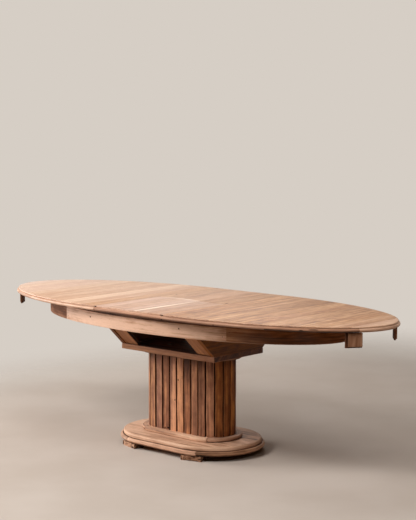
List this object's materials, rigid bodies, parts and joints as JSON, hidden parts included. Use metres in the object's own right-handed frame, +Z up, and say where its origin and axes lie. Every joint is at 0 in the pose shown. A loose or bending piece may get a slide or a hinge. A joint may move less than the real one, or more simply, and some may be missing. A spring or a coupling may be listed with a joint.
{
  "type": "extending oval pedestal dining table",
  "caption": "Oval dining table on a slatted pedestal; the top's halves slide apart on grooved rails for a folding leaf, which is kept in the open tray below.",
  "frame": {"origin": "on the floor under the middle of the base", "axes": "+X along the table, +Y across it to the back, +Z up"},
  "size_m": [2.518, 0.98, 0.78],
  "materials": {
    "top_planks": "bleached, open grain, satin wax",
    "edge_band": "satin wax, worn nose",
    "apron_wood": "satin wax, old nail holes",
    "slat_wood": "satin wax, mixed tones",
    "plinth_wood": "satin wax, worn edges",
    "tray_wood": "satin wax",
    "inner_wood": "planed, unfinished",
    "brass": "satin",
    "steel": "dull zinc"
  },
  "bodies": {
    "base": {"apron_back": "apron_wood", "apron_blocks": "inner_wood", "apron_front": "apron_wood", "apron_left": "apron_wood", "apron_right": "apron_wood", "bearer_left": "inner_wood", "bearer_right": "inner_wood", "brace_back_left": "tray_wood", "brace_back_right": "tray_wood", "brace_front_left": "tray_wood", "brace_front_right": "tray_wood", "collar": "plinth_wood", "column_liner": "inner_wood", "end_board_left": "tray_wood", "end_board_right": "tray_wood", "foot_back_left": "plinth_wood", "foot_back_right": "plinth_wood", "foot_front_left": "plinth_wood", "foot_front_right": "plinth_wood", "former_bottom": "inner_wood", "former_middle": "inner_wood", "former_top": "inner_wood", "plinth_back": "plinth_wood", "plinth_board": "plinth_wood", "plinth_front": "plinth_wood", "plinth_left": "plinth_wood", "plinth_right": "plinth_wood", "post_left": "inner_wood", "post_right": "inner_wood", "rail_back": "inner_wood", "rail_front": "inner_wood", "slats_back": "slat_wood", "slats_front": "slat_wood", "slats_left": "slat_wood", "slats_right": "slat_wood", "top_collar": "plinth_wood", "tray": "tray_wood", "tray_bolts": "steel"},
    "left_half": {"left_band": "edge_band", "left_planks": "top_planks", "left_runner_back": "inner_wood", "left_runner_front": "inner_wood", "left_screws": "steel", "left_stop_back": "apron_wood", "left_stop_front": "apron_wood"},
    "right_half": {"right_band": "edge_band", "right_planks": "top_planks", "right_runner_back": "inner_wood", "right_runner_front": "inner_wood", "right_screws": "steel", "right_stop_back": "apron_wood", "right_stop_front": "apron_wood"},
    "leaf_front": {"leaf_front_band": "edge_band", "leaf_front_hinges": "brass", "leaf_front_planks": "top_planks"},
    "leaf_back": {"leaf_back_band": "edge_band", "leaf_back_hinges": "brass", "leaf_back_planks": "top_planks"}
  },
  "joints": [
    {"name": "right_half_slide", "type": "slide", "parent": "base", "child": "right_half", "axis": [1, 0, 0], "range_m": [-0.2365, 0]},
    {"name": "left_half_slide", "type": "slide", "parent": "base", "child": "left_half", "axis": [1, 0, 0], "range_m": [0, 0.2365]},
    {"name": "leaf_lift", "type": "slide", "parent": "base", "child": "leaf_front", "axis": [0, 0, 1], "range_m": [0, 0.6]},
    {"name": "leaf_fold", "type": "hinge", "parent": "leaf_front", "child": "leaf_back", "pos_m": [0, 0, 0.7804], "axis": [1, 0, 0], "range_deg": [0, 180]}
  ],
  "couplings": [
    {"joint": "left_half_slide", "follows": "right_half_slide", "ratio": -1},
    {"joint": "leaf_lift", "follows": "right_half_slide", "ratio": -2.5}
  ]
}
